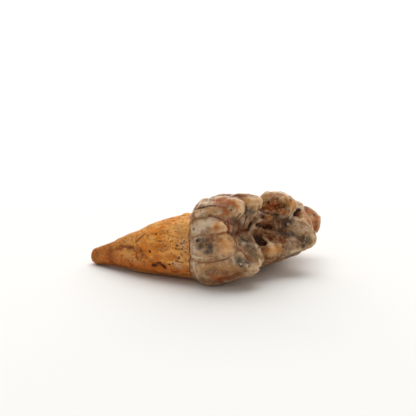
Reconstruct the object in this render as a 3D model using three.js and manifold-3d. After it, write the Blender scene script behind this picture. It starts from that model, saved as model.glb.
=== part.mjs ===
// A fossil cheek tooth of a cave bear: the lower first molar, lying on its cheek side.
// It grew as one piece, so it is one solid: a low crown of rounded cusps on two tapering roots.
//
// Millimetres. +X runs from the root tips to the cusps, +Y along the crown from its hind end
// to its front end, and +Z up, from the cheek side that the tooth lies on to the tongue side.
// The shapes below are placed from the neck at the crown's hind end, where x and y are 0, and
// from the surface the tooth lies on, where z is 0. The finished tooth is moved so that its
// origin is the middle of its box, at the bottom.
import * as THREE from "three";
import { MarchingCubes } from "three/addons/objects/MarchingCubes.js";
import { mergeVertices } from "three/addons/utils/BufferGeometryUtils.js";
import Module from "manifold-3d";

const wasm = await Module();
wasm.setup();

// Driving dimensions.
const CROWN_LENGTH = 30;
const CROWN_WIDTH = 16;
const ROOT_LENGTH = 22.6;

// The size of the cells in which the surface is traced, and how many there are along a side.
const CELL = 0.8;
const CELLS = 56;

const at = (x, y, z) => new THREE.Vector3(x, y, z);

// The cusps, each a lobe from a wide foot in the crown to the middle of its rounded end.
const CUSPS = [
  { name: "hind_tongue_cusp", foot: at(1.0, 4.9, 11.3), top: at(6.2, 4.5, 14.3), thick: 3.8, tip: 1.6 },
  { name: "middle_tongue_cusp", foot: at(1.8, 9.0, 11.5), top: at(7.2, 8.8, 14.3), thick: 3.8, tip: 1.5 },
  { name: "hind_cusplet", foot: at(0.8, 3.9, 10.1), top: at(4.9, 2.3, 11.1), thick: 3.0, tip: 1.6 },
  { name: "hind_middle_cusp", foot: at(0.9, 4.3, 7.2), top: at(4.7, 2.9, 8.0), thick: 3.8, tip: 2.4 },
  { name: "hind_cheek_cusp", foot: at(1.6, 6.0, 4.7), top: at(6.8, 6.6, 5.0), thick: 5.2, tip: 3.2 },
  { name: "valley_knob", foot: at(5.0, 12.4, 10.0), top: at(7.8, 11.5, 11.0), thick: 2.2, tip: 0.9 },
  { name: "cheek_cusplet", foot: at(3.0, 13.2, 5.0), top: at(7.6, 12.2, 4.9), thick: 4.2, tip: 2.1 },
  { name: "tall_cheek_cusp", foot: at(2.8, 19.2, 5.8), top: at(12.2, 18.8, 6.4), thick: 5.2, tip: 2.0 },
  { name: "tall_cusp_crest", foot: at(3.0, 19.6, 7.2), top: at(10.9, 19.6, 8.4), thick: 3.8, tip: 2.0 },
  { name: "tall_cusp_shoulder", foot: at(3.0, 17.0, 4.6), top: at(10.4, 16.6, 5.1), thick: 4.8, tip: 2.1 },
  { name: "front_tongue_cusp", foot: at(2.6, 17.6, 7.0), top: at(7.5, 17.0, 11.8), thick: 4.0, tip: 2.8 },
  { name: "front_tongue_ridge", foot: at(3.0, 20.0, 7.2), top: at(9.4, 20.4, 10.8), thick: 3.8, tip: 1.6 },
  { name: "front_cusp", foot: at(2.4, 24.4, 6.2), top: at(8.2, 26.4, 7.8), thick: 4.8, tip: 2.0 },
  { name: "front_cusp_point", foot: at(5.0, 25.6, 6.6), top: at(9.8, 26.8, 7.0), thick: 3.2, tip: 1.3 },
];
const CUSP_BLEND = 0.6;

// The crown's body under the cusps: two halves and the waist between them.
const BODIES = [
  { centre: at(2.4, 7.0, 7.7), half: at(3.6, 5.4, 7.0) },
  { centre: at(2.0, 13.0, 6.0), half: at(3.4, 5.0, 4.8) },
  { centre: at(2.8, 20.0, 5.7), half: at(5.0, 9.2, 5.4) },
];
const BODY_POWER = 2.5;
const BODY_BLEND = 1.0;

// What is sunk into the grinding face, and how far each rim is rounded over.
const HOLLOWS = [
  { name: "hind_basin", centre: at(8.6, 7.4, 9.9), half: at(3.0, 3.6, 1.7), rim: 0.8 },
  { name: "worn_face", centre: at(10.4, 4.4, 6.9), half: at(2.6, 2.6, 2.6), rim: 0.6 },
  { name: "cross_valley", centre: at(9.4, 10.6, 8.6), half: at(3.0, 1.1, 3.6), rim: 0.8 },
  { name: "cavity", centre: at(7.6, 11.0, 7.2), half: at(1.6, 1.2, 1.2), rim: 0.6 },
  { name: "front_basin", centre: at(11.0, 15.6, 9.3), half: at(2.6, 2.4, 0.9), rim: 0.8 },
  { name: "front_cusp_pit", centre: at(9.2, 13.9, 12.8), half: at(2.2, 1.7, 1.7), rim: 0.6 },
  { name: "slot", centre: at(11.0, 18.6, 10.8), half: at(1.5, 1.0, 1.0), rim: 0.5 },
];

// The roots as rings from the tip to the neck: where a ring's middle is and its half-sizes.
const ring = (x, y, z, wide, high) => ({ x, values: [y, z, wide, high] });
const ROOTS = [
  [
    ring(-ROOT_LENGTH + 0.4, 5.0, 1.35, 1.4, 1.45),
    ring(-18.0, 5.2, 2.6, 2.4, 2.35),
    ring(-12.0, 5.5, 4.25, 3.9, 4.15),
    ring(-5.0, 5.8, 5.75, 4.6, 5.35),
    ring(0.0, 6.2, 6.3, 4.7, 5.6),
  ],
  [
    ring(-ROOT_LENGTH + 1.8, 18.8, 1.2, 1.2, 1.3),
    ring(-18.0, 19.2, 2.1, 1.9, 1.8),
    ring(-12.0, 19.8, 3.2, 3.5, 2.8),
    ring(-5.0, 20.2, 4.4, 4.6, 3.9),
    ring(0.0, 20.4, 5.0, 4.9, 4.4),
  ],
];
const ROOT_POWER = 2.5;
const ROOT_BLEND = 0.5;

// Where the enamel ends. At both ends of the crown its edge bows towards the cusps.
const NECK = { x: -2.0, bow: 1.5, bowWidth: 5.0, rim: 0.5 };

// The slow swells all over the surface: their height, and how fast they come along each axis.
const SWELL = { height: 0.12, rate: at(1.9, 1.6, 1.7) };

// The surface is cut flat where the tooth lies on the floor.
const FLOOR = { width: 80, depth: 10 };

// The smaller of two distances, with the corner between them filled over a width of `blend`.
function join(a, b, blend) {
  const h = Math.max(blend - Math.abs(a - b), 0) / blend;
  return Math.min(a, b) - (h * h * blend) / 4;
}

// What is left of `a` when `b` is hollowed out of it, with the rim rounded over `blend`.
function hollow(a, b, blend) {
  return -join(-a, b, blend);
}

// How far out a place is, where 1 is the surface. A power above 2 makes the shape boxier.
function reach(power, ...shares) {
  return shares.reduce((sum, share) => sum + Math.abs(share) ** power, 1e-6) ** (1 / power);
}

// Distance to an egg shape with the given half-sizes.
function egg(p, { centre, half }, power) {
  const q = p.clone().sub(centre).divide(half);
  const k = reach(power, q.x, q.y, q.z);
  const slope = (share, size) => Math.abs(share / k) ** (power - 1) / size;
  return (k - 1) / Math.hypot(slope(q.x, half.x), slope(q.y, half.y), slope(q.z, half.z));
}

// Distance to a lobe: a ball of radius `thick` at its foot that tapers to one of radius `tip`.
function lobe(p, { foot, top, thick, tip }) {
  const axis = top.clone().sub(foot);
  const q = p.clone().sub(foot);
  const share = THREE.MathUtils.clamp(q.dot(axis) / axis.lengthSq(), 0, 1);
  return q.addScaledVector(axis, -share).length() - THREE.MathUtils.lerp(thick, tip, share);
}

// Gives the distance to a root with these rings. It is round past its first and last ring.
function rootFrom(rings) {
  const places = rings.map((r) => r.x);
  const values = rings.flatMap((r) => r.values);
  const curve = new THREE.CubicInterpolant(places, values, 4);
  return (p) => {
    const x = THREE.MathUtils.clamp(p.x, places[0], places[places.length - 1]);
    const [y, z, wide, high] = curve.evaluate(x);
    const k = reach(ROOT_POWER, (p.x - x) / high, (p.y - y) / wide, (p.z - z) / high);
    return (k - 1) * Math.min(wide, high);
  };
}

// How far a place is on the root's side of the enamel's edge.
function pastNeck(p) {
  const fromEnd = Math.min(p.y, CROWN_LENGTH - p.y);
  const share = Math.max(1 - fromEnd / NECK.bowWidth, 0);
  return p.x - NECK.x - NECK.bow * share ** 2;
}

const roots = ROOTS.map(rootFrom);

// Distance to the whole tooth, below 0 inside it.
function tooth(p) {
  const bodies = BODIES.map((body) => egg(p, body, BODY_POWER));
  let d = bodies.reduce((a, b) => join(a, b, BODY_BLEND));
  for (const cusp of CUSPS) d = join(d, lobe(p, cusp), CUSP_BLEND);
  for (const dip of HOLLOWS) d = hollow(d, egg(p, dip, 2), dip.rim);
  d = hollow(d, pastNeck(p), NECK.rim);
  for (const root of roots) d = join(d, root(p), ROOT_BLEND);
  const { x, y, z } = p.clone().multiply(SWELL.rate);
  return d + SWELL.height * Math.sin(x + z) * Math.cos(y - x) * Math.cos(z);
}

// A mesh's corners and faces without its normals, each corner once.
function bare(geometry) {
  const copy = new THREE.BufferGeometry().setAttribute("position", geometry.attributes.position);
  return mergeVertices(copy.setIndex(geometry.index), 1e-3);
}

// Traces the tooth's surface. The traced field is above 0 inside, and is kept off 0 by a small
// share of a cell, so that no face is drawn out into a sliver.
function traced() {
  const middle = at(-4.4, CROWN_LENGTH / 2, CROWN_WIDTH / 2);
  const least = 0.08 * CELL;
  const cubes = new MarchingCubes(CELLS, new THREE.MeshStandardMaterial(), false, false, 20000);
  cubes.isolation = 0;
  for (let i = 0; i < CELLS ** 3; i++) {
    const p = at(i % CELLS, Math.floor(i / CELLS) % CELLS, Math.floor(i / CELLS ** 2));
    const inside = -tooth(p.subScalar(CELLS / 2).multiplyScalar(CELL).add(middle));
    cubes.field[i] = inside < 0 ? Math.min(inside, -least) : Math.max(inside, least);
  }
  cubes.update();
  const corners = new THREE.BufferAttribute(cubes.positionArray.slice(0, cubes.count * 3), 3);
  const surface = new THREE.BufferGeometry().setAttribute("position", corners);
  const half = (CELLS / 2) * CELL;
  surface.scale(half, half, half).translate(middle.x, middle.y, middle.z);
  return bare(surface);
}

function solidOf(geometry) {
  const mesh = new wasm.Mesh({
    numProp: 3,
    vertProperties: new Float32Array(geometry.attributes.position.array),
    triVerts: new Uint32Array(geometry.index.array),
  });
  return new wasm.Manifold(mesh);
}

function geometryOf(solid) {
  const mesh = solid.getMesh();
  return new THREE.BufferGeometry()
    .setAttribute("position", new THREE.BufferAttribute(mesh.vertProperties, 3))
    .setIndex(new THREE.BufferAttribute(mesh.triVerts, 1));
}

const floor = new THREE.BoxGeometry(FLOOR.width, FLOOR.width, FLOOR.depth);
floor.translate(0, CROWN_LENGTH / 2, -FLOOR.depth / 2);
const shape = geometryOf(solidOf(traced()).subtract(solidOf(bare(floor))));

// Put the origin in the middle of the tooth's box, at the bottom.
shape.computeBoundingBox();
const box = shape.boundingBox;
const centre = box.getCenter(at(0, 0, 0));
shape.translate(-centre.x, -centre.y, -box.min.z);

const stone = new THREE.MeshStandardMaterial({ color: 0xb89168, roughness: 0.45, metalness: 0 });
const molar = new THREE.Mesh(shape, stone);
molar.name = "cave_bear_molar";
const part = new THREE.Group();
part.add(molar);
export default part;
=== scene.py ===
# A fossil cheek tooth of a cave bear, lying loose on its side on a pale table.
import math
import random

import bpy
import numpy as np
from mathutils import Matrix, Vector, noise
from mathutils.bvhtree import BVHTree
from mathutils.kdtree import KDTree


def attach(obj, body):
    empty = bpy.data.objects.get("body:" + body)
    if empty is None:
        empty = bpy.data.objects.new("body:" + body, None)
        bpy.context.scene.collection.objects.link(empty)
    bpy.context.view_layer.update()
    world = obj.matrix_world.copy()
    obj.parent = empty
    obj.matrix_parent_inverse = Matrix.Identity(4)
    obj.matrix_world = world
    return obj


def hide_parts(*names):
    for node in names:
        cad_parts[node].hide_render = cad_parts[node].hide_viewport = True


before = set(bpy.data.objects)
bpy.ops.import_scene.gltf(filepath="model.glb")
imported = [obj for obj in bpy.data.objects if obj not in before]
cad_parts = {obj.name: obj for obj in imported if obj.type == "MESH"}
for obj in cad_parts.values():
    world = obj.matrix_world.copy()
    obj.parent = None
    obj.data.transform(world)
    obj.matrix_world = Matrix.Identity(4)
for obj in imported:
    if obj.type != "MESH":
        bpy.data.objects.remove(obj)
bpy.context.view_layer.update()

# The camera. It stands a little above the table, with a long lens, towards the hind end of the
# crown. The marks on the near side of the tooth are placed by where it sees them, in pixels of a
# 416 by 416 picture, and lie on the tooth's own surface there. PIXEL is one pixel's width on it.
MM = 0.001
AZIMUTH, ELEVATION = math.radians(30), math.radians(15)
LENS, SENSOR, PICTURE = 135.0, 36.0, 416
DISTANCE = 265.2 * MM
AIM = Vector((5.36, -10.285, 13.547)) * MM
PIXEL = 0.172 * MM

back = Vector(
    (
        math.sin(AZIMUTH) * math.cos(ELEVATION),
        -math.cos(AZIMUTH) * math.cos(ELEVATION),
        math.sin(ELEVATION),
    )
)
right = Vector((math.cos(AZIMUTH), math.sin(AZIMUTH), 0))
up = back.cross(right)
eye = AIM + back * DISTANCE

camera = bpy.data.objects.new("camera", bpy.data.cameras.new("camera"))
camera.data.lens = LENS
camera.data.sensor_width = SENSOR
camera.data.clip_start = 0.01
camera.data.clip_end = 10
camera.matrix_world = Matrix.Translation(eye) @ Matrix((right, up, back)).transposed().to_4x4()
bpy.context.collection.objects.link(camera)
bpy.context.scene.camera = camera

# The tooth. Enamel covers the crown down to its neck, and the roots are dentine, both turned to
# stone. It grew as one piece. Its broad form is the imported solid's, smoothed, and the grooves
# between the cusps, the broken hollows, the cracks and the pores are worked into that surface.
COARSE, FINE = 0.20 * MM, 0.178 * MM
COARSE_ROUNDS, FINE_ROUNDS = 28, 2
SHRINK, SWELL = 0.5, -0.515

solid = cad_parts["cave_bear_molar"]
bpy.ops.object.select_all(action="DESELECT")
solid.select_set(True)
bpy.context.view_layer.objects.active = solid
bpy.ops.object.duplicate()
tooth = bpy.context.object
tooth.name = "fossil_tooth"
bpy.ops.object.mode_set(mode="EDIT")
bpy.ops.mesh.select_all(action="SELECT")
bpy.ops.mesh.remove_doubles(threshold=1e-6)
bpy.ops.object.mode_set(mode="OBJECT")


def shaped_by(kind, **settings):
    """Applies one modifier to the tooth as it stands."""
    modifier = tooth.modifiers.new(kind.lower(), kind)
    for name, value in settings.items():
        setattr(modifier, name, value)
    bpy.ops.object.modifier_apply(modifier=modifier.name)


def rebuilt(cell, rounds):
    """Rebuilds the surface from cells of this size, and evens it without making it thinner."""
    shaped_by("REMESH", mode="VOXEL", voxel_size=cell, adaptivity=0)
    for _ in range(rounds):
        shaped_by("SMOOTH", factor=SHRINK, iterations=1)
        shaped_by("SMOOTH", factor=SWELL, iterations=1)


rebuilt(COARSE, COARSE_ROUNDS)


class Surface:
    """The tooth's surface as it stands: what can be seen, touched and moved on it."""

    def __init__(self):
        mesh = tooth.data
        count = len(mesh.vertices)
        self.places = np.empty(count * 3, dtype=np.float32)
        mesh.vertices.foreach_get("co", self.places)
        self.places = self.places.reshape(-1, 3)
        self.outward = np.empty(count * 3, dtype=np.float32)
        mesh.vertex_normals.foreach_get("vector", self.outward)
        self.outward = self.outward.reshape(-1, 3)
        self.moved = np.zeros(count, dtype=np.float32)
        self.drawn = np.zeros((count, 3), dtype=np.float32)
        self.near = KDTree(count)
        for index, place in enumerate(self.places):
            self.near.insert(place, index)
        self.near.balance()
        faces = [tuple(face.vertices) for face in mesh.polygons]
        self.skin = BVHTree.FromPolygons([Vector(p) for p in self.places], faces)

    def seen(self, u, v):
        """The place on the tooth that the camera sees at this pixel, or None."""
        focal = LENS / SENSOR * PICTURE
        ray = right * (u - PICTURE / 2) / focal - up * (v - PICTURE / 2) / focal - back
        return self.skin.ray_cast(eye, ray.normalized())[0]

    def trail(self, pixels):
        """The places along a line of pixels, about one for each pixel."""
        found = [self.seen(*pixels[0])]
        for (u0, v0), (u1, v1) in zip(pixels, pixels[1:]):
            steps = max(int(math.hypot(u1 - u0, v1 - v0)), 1)
            for step in range(1, steps + 1):
                share = step / steps
                found.append(self.seen(u0 + (u1 - u0) * share, v0 + (v1 - v0) * share))
        return [place for place in found if place]

    def touched(self, places, reach, soft=True):
        """The corners within reach of these places, and how strongly each is touched. The strength
        fades evenly, or with a rounded start and end where it is soft. A wide stroke skips places."""
        nearest = {}
        for place in places[:: max(int(reach / PIXEL / 5), 1)]:
            for _, index, distance in self.near.find_range(place, reach):
                nearest[index] = min(distance, nearest.get(index, reach))
        corners = np.array(list(nearest), dtype=int)
        share = 1 - np.array(list(nearest.values())) / reach
        return corners, share * share * (3 - 2 * share) if soft else share

    def press(self, places, width, depth):
        """Pushes the surface in along these places, or out where the depth is negative."""
        corners, strength = self.touched(places, width)
        if len(corners):
            deeper = np.abs(strength * depth * MM) > np.abs(self.moved[corners])
            self.moved[corners[deeper]] = -strength[deeper] * depth * MM

    def pull(self, places, width, across, upward):
        """Draws the surface sideways and upwards, as the camera sees it."""
        corners, strength = self.touched(places, width)
        self.drawn[corners] += strength[:, None] * np.array(right * across + up * upward) * MM

    def carve(self):
        """Moves the corners in the mesh by what the strokes have pushed and drawn them."""
        self.places = self.places + self.outward * self.moved[:, None] + self.drawn
        self.places[:, 2] = np.maximum(self.places[:, 2], 0)
        tooth.data.vertices.foreach_set("co", self.places.ravel())
        tooth.data.update()


# Grooves, hollows and swellings that the camera sees. A stroke gives its width in pixels, its depth
# in millimetres (a negative one stands out), and the line that it follows. Where strokes cross, the
# strongest counts.
FORMS = [
    # the grooves between the cusps of the hind end, from the neck towards the tips
    (3.4, 0.09, [(191, 222), (197, 219.4), (205, 217.6), (212, 216.4), (218, 218.2)]),
    (2.8, 0.26, [(212, 216.4), (218, 218.2), (224, 221.6), (228, 225)]),
    (3.4, 0.07, [(191, 237.8), (198, 236.2), (206, 234.9), (213, 234.6), (220, 233.6)]),
    (2.8, 0.24, [(220, 233.6), (226, 232.6), (229, 231)]),
    (3.4, 0.07, [(192.5, 260.4), (199, 261.8), (207, 262.6), (215, 261.6), (222, 260.4)]),
    (2.8, 0.26, [(222, 260.4), (227, 258.6), (231, 254)]),
    (3.2, 0.09, [(231, 254), (233.5, 249), (233.5, 244), (231.5, 239), (229, 234)]),
    (2.8, 0.60, [(225, 222), (228.5, 225.5), (229.5, 229), (228.5, 233)]),
    # the swelling of the hindmost cusp
    (9.0, -0.14, [(222, 240), (224, 246), (222, 252)]),
    (14.0, -0.60, [(227, 247), (227.4, 250)]),
    # the side of the first tongue cusp, the groove behind it and the wall below it
    (4.0, -0.14, [(237, 202.6), (240.6, 206), (240.6, 211)]),
    (2.2, 0.34, [(232, 195.6), (238, 196.8), (243, 200), (245.6, 205), (245.6, 210), (244, 215)]),
    (2.2, 0.30, [(240, 214), (236.5, 219), (234.5, 225), (233.5, 230)]),
    (1.6, 0.18, [(238, 219), (239.5, 225), (238.5, 230)]),
    (2.4, 0.45, [(259.5, 207), (257.5, 214), (254, 220), (250.5, 226), (247.8, 230)]),
    # crevices on the floor of the valley
    (2.2, 0.50, [(229.5, 233), (233, 236), (237, 233.5), (240, 230.5), (244, 230), (248, 231)]),
    (1.8, 0.30, [(233, 229), (236, 232.5), (240, 236), (245, 236.5)]),
    (2.0, 0.80, [(251, 223), (249, 226.5), (247.6, 230)]),
    # the worn face of the cheek cusp and its raised rim
    (8.0, 0.22, [(244, 246), (248, 250)]),
    (4.5, -0.10, [(243, 244)]),
    (3.4, 0.32, [(256.6, 239), (259.6, 244), (261.2, 250)]),
    (1.6, -0.16, [(248.4, 233.4), (251, 236.4), (254, 240.8), (256.6, 246.5), (258.2, 253)]),
    (1.6, -0.16, [(258.2, 253), (260, 259.5), (260.4, 264.7)]),
    (1.6, 0.12, [(240.6, 250.4), (243.2, 253), (245.4, 256), (247.4, 259.4)]),
    # the pit of the front tongue cusp, with its lumpy floor
    (10.0, 0.24, [(270, 206.5), (278, 207), (284, 208)]),
    (5.0, -0.34, [(260.6, 200.6), (264, 197), (268, 194.4)]),
    (5.0, 0.22, [(276, 214), (283, 214), (289, 212)]),
    (3.0, 0.35, [(268.7, 204), (272, 200.6), (277, 199.4)]),
    (3.0, -0.25, [(273, 205), (276, 203.8)]),
    (2.6, -0.22, [(281, 210.5), (284.5, 210)]),
    (2.4, 0.30, [(270.5, 211.5), (275, 213), (279, 213.5)]),
    (2.6, 0.28, [(284, 203.6), (286, 206.5)]),
    (4.5, -0.26, [(287, 197.6), (291, 201), (295, 206)]),
    (3.5, -0.25, [(291, 198.6), (296, 202)]),
    # the dark slot beside the tall cusp, and the thin ridge along it
    (3.6, 0.50, [(298.6, 210.4), (296.4, 212.4), (294.4, 214.4)]),
    (3.0, 0.28, [(299.4, 213), (297, 215)]),
    (3.4, 0.22, [(298, 215), (300.4, 217.6)]),
    (1.6, -0.18, [(289.6, 218.4), (292.8, 213), (297, 207)]),
    # lumps at the foot of the front tongue cusp and the crevice under them
    (3.4, -0.40, [(267, 219.4), (270.4, 218)]),
    (4.2, 0.85, [(257.5, 225), (262, 225.4), (266.5, 226.6), (270, 228)]),
    (3.0, 0.75, [(265, 222), (262.4, 225), (260, 228)]),
    (2.0, 0.45, [(270, 227.4), (275, 229)]),
    (2.0, 0.25, [(274.5, 216.5), (278, 221), (279, 226.5)]),
    # the broken floor between the two halves, with its holes
    (5.0, 0.90, [(257, 239), (260.4, 241.4), (264, 243)]),
    (3.6, 0.70, [(261.6, 238), (264, 240.4)]),
    (4.4, 0.50, [(255.6, 236), (260, 237)]),
    (2.2, 0.50, [(270, 240.6), (271.4, 241.6)]),
    (1.6, 0.26, [(254, 230), (262, 231.4), (270, 234)]),
    (1.6, 0.22, [(254, 233.6), (262, 235), (272, 239)]),
    (2.6, 0.14, [(276, 232.4), (281, 236), (287.5, 238.4)]),
    # the cusplet of the cheek side, and the groove that parts it from the tall cusp
    (12.0, -0.20, [(270, 250), (277, 250)]),
    (6.0, -0.45, [(279, 246), (280.4, 250), (279, 254)]),
    (4.4, -0.30, [(264, 257.6), (270, 259), (275.4, 256.6)]),
    (3.6, -0.34, [(273.4, 248), (275.6, 251.6), (274, 255.6)]),
    (3.4, 0.14, [(285, 243), (284.4, 249), (283, 254.6), (280, 259.4)]),
    (1.9, -0.24, [(287.9, 224.2)]),
    (1.7, -0.18, [(280.1, 227)]),
    # the crest of the tall cusp
    (1.8, -0.16, [(303, 218.6), (304.2, 220.4), (308.8, 225.6), (314.4, 232)]),
    (5.0, 0.12, [(296, 228), (301, 233)]),
    (2.4, 0.16, [(283, 233.6), (289, 235.4), (294, 238)]),
    # the front cusp: the crease where its flat face starts, the face and its far corner
    (2.0, 0.06, [(304.6, 207.5), (306, 213), (307.5, 219)]),
    (4.4, -0.24, [(305.6, 214), (308.2, 219.4), (311.6, 226)]),
    (3.6, -0.55, [(311, 219.6), (314, 221), (317, 222.4)]),
    # the cheek side of the front half runs down straight to the table
    (7.0, -0.30, [(304, 246.6), (298, 249), (291, 252), (283, 255)]),
    (4.0, -0.30, [(302, 249), (298.6, 251)]),
    # the root's larger pits and its long scratch
    (1.5, 0.16, [(135.8, 242.3), (138, 239.8), (140.2, 237.8), (144.3, 234.5)]),
    (2.2, 0.07, [(138.6, 243.6), (140.4, 240.6)]),
    (1.8, 0.16, [(141.2, 250), (141.4, 252.4)]),
    (1.6, 0.16, [(137, 256.4), (138.2, 258.6)]),
    (2.4, 0.22, [(153.6, 265), (156.6, 265.6)]),
    (1.7, 0.32, [(162.6, 265), (164.8, 267.4)]),
    (1.6, 0.14, [(169, 264.4), (173.4, 263.8)]),
    (2.0, 0.10, [(131, 247), (133.4, 247.8)]),
    (3.0, 0.08, [(120.5, 246), (126, 246.6)]),
]

# Edges that are drawn out or in, as the camera sees them. A stroke gives its width in pixels, the
# way to the right and the way upwards in millimetres, and its line. Strokes that cross add up.
EDGES = [
    # the upper side of the root is full and nearly straight
    (15, 0.0, 0.62, [(96, 253), (110, 248.4), (126, 241.6), (138, 236.4)]),
    (8, 0.0, 0.18, [(120, 240.6), (129, 236.6)]),
    (5, 0.0, 0.22, [(184, 216.2), (188, 215.6)]),
    (10, 0.0, 0.34, [(149, 226.6), (158, 223), (170, 219.4), (182, 216.6), (188, 215.4)]),
    # the shoulder and the top of the first tongue cusp, which hides the foot of the second
    (7, 0.26, -0.66, [(193.6, 207.4), (195, 205.6)]),
    (6, 0.0, 0.34, [(202.6, 201), (208, 199.8)]),
    (6.5, 0.0, 0.64, [(213, 200), (219, 199.8), (226, 199.6)]),
    (4, 0.0, -0.34, [(216, 196), (222, 195.4), (229, 195.2)]),
    (4, 0.0, 0.38, [(234, 195.8), (240, 195.6), (248, 196)]),
    (5, 0.0, 0.34, [(230, 199.8), (235, 200.4)]),
    (4, 0.0, -0.26, [(254.6, 196.4)]),
    (4, 0.0, 0.18, [(272.4, 193), (275.4, 193.2)]),
    (5, 0.05, 0.26, [(301.6, 205.6), (303, 206.4)]),
    # the cheek cusp's far rim
    (6, -0.46, 0.0, [(260.2, 244), (261.2, 248), (261.6, 252), (261.4, 256.4)]),
    # the front half's outline, from the tongue cusp down to the table
    (5, -0.16, 0.28, [(262, 199.6), (265, 196), (268, 194.6)]),
    (4.4, 0.05, 0.44, [(289, 199), (291, 200.6), (293, 202)]),
    (5, 0.16, 0.24, [(305, 207.6), (310, 210), (314, 213)]),
    (4, 0.24, 0.08, [(315, 214.6), (318, 218.4)]),
    (4.6, 0.0, 0.30, [(317, 217.6), (319, 220)]),
    (5, 0.18, 0.06, [(318.4, 219.6), (318.8, 222)]),
    (7, 0.05, -1.15, [(313, 226), (316.6, 226.6)]),
    (5, 0.10, -0.30, [(301, 247.6), (306, 246.8)]),
    (10, 0.0, 0.46, [(288, 258.6), (293, 257), (297, 255.2)]),
]

surface = Surface()
for width, depth, pixels in FORMS:
    surface.press(surface.trail(pixels), width * PIXEL, depth)
for width, across, upward, pixels in EDGES:
    surface.pull(surface.trail(pixels), width * PIXEL, across, upward)
surface.carve()

rebuilt(FINE, FINE_ROUNDS)
surface = Surface()
count = len(surface.places)
edges = np.empty(len(tooth.data.edges) * 2, dtype=np.int32)
tooth.data.edges.foreach_get("vertices", edges)
first, second = edges.reshape(-1, 2).T
valence = np.bincount(edges, minlength=count)


def evened(values, rounds):
    """Each corner takes the mean of itself and its neighbours, so many times over."""
    for _ in range(rounds):
        total = values.copy()
        for side in range(values.shape[1]):
            total[:, side] += np.bincount(first, values[second, side], count)
            total[:, side] += np.bincount(second, values[first, side], count)
        values = total / (1 + valence)[:, None]
    return values


# Faces that are worn or broken smooth. A stroke gives its reach in pixels and its line.
WORN_ROUNDS = 24
WORN = [
    (9, [(307, 210), (311, 216), (315, 222), (315, 228)]),
    (9, [(305, 212), (308.4, 218), (311.6, 224)]),
    (5, [(264, 258), (270, 260), (275, 258)]),
    (13, [(269, 251), (276, 251)]),
    (8, [(288, 240), (295, 241)]),
    (5, [(264, 219), (263, 225)]),
    (6, [(292, 201), (293, 206)]),
]
worn = np.zeros(count)
for reach, pixels in WORN:
    corners, strength = surface.touched(surface.trail(pixels), reach * PIXEL)
    worn[corners] = np.maximum(worn[corners], strength)
even_places = evened(surface.places.astype(float), WORN_ROUNDS)
surface.drawn += worn[:, None] * (even_places - surface.places)
surface.carve()
surface = Surface()

# Where the enamel ends. Its edge bows towards the cusps at both ends of the crown, and the enamel
# stands a little above the root beside it. The sizes are in millimetres.
HIND_END, FRONT_END = -14.87, 15.13
NECK, BOW, BOW_LENGTH, WOBBLE = 2.67, 1.75, 5, 0.25
EDGE, SLOPE, LEDGE, ROOT_SUNK = 0.16, 0.3, 0.07, 0.02
x, y, z = (surface.places / MM).T
from_end = np.minimum(y - HIND_END, FRONT_END - y)
neck = NECK + BOW * np.maximum(1 - from_end / BOW_LENGTH, 0) ** 2
wobble = np.array([noise.noise(Vector((0, b, c)) * 0.7) for b, c in zip(y, z)])
past_neck = x - neck - WOBBLE * wobble
enamel = np.clip(past_neck / EDGE + 0.5, 0, 1)
surface.moved += (np.clip(past_neck / SLOPE, 0, 1) * LEDGE - ROOT_SUNK) * MM
layers = {"enamel": enamel}

# Where the crown is broken, its surface is rough stone. A stroke gives its reach in pixels and its
# line, and the lumps are in millimetres.
LUMPS, GRIT = 0.22, 0.12
BROKEN = [
    (13, [(268, 206), (276, 206), (284, 208)]),
    (9, [(257, 221), (264, 223), (272, 227)]),
    (7, [(261, 208), (262, 216), (268, 218)]),
    (8, [(275, 217), (280, 222), (281, 228)]),
    (10, [(255, 232), (263, 234), (272, 238), (281, 240)]),
    (7, [(233, 232), (240, 232), (247, 228)]),
    (6, [(266, 258), (274, 258)]),
    (6, [(288, 246), (296, 246)]),
    (5, [(236, 221), (240, 226)]),
]
broken = np.zeros(count, dtype=np.float32)
for reach, pixels in BROKEN:
    corners, strength = surface.touched(surface.trail(pixels), reach * PIXEL)
    broken[corners] = np.maximum(broken[corners], strength)
for index in np.nonzero(broken > 0.02)[0]:
    spot = Vector(surface.places[index]) / MM
    rough = LUMPS * noise.noise(spot * 1.3) + GRIT * noise.noise(spot * 2.9)
    surface.moved[index] += broken[index] * rough * MM

# The whole tooth is a little uneven: long low waves along the root, and fainter ones on the enamel.
ROOT_WAVE, ENAMEL_WAVE = 0.045, 0.03
for index, (a, b, c) in enumerate(surface.places / MM):
    wave = noise.noise(Vector((a * 0.35, b, c)) * 0.9)
    wave += 0.5 * noise.noise(Vector((a * 0.6, b, c)) * 2.2)
    surface.moved[index] += wave * (ROOT_WAVE if enamel[index] < 0.5 else ENAMEL_WAVE) * MM

# Pores of the root near the neck, each a dark dot.
ROOT_PORES = [
    (172, 241.5), (177.6, 240.8), (184.2, 240.8), (186.5, 242.2), (180.9, 243),
    (189.8, 240.8), (183.5, 243.4), (170.2, 245.2), (175.7, 247.8), (187, 246.4),
    (181.6, 238.4), (168.2, 238.6), (165, 250.4), (171.4, 253), (185.6, 252.4),
]


def dots(reach, strength, *places):
    """Strokes that are a single dot each."""
    return [(reach, strength, [place]) for place in places]


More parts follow.
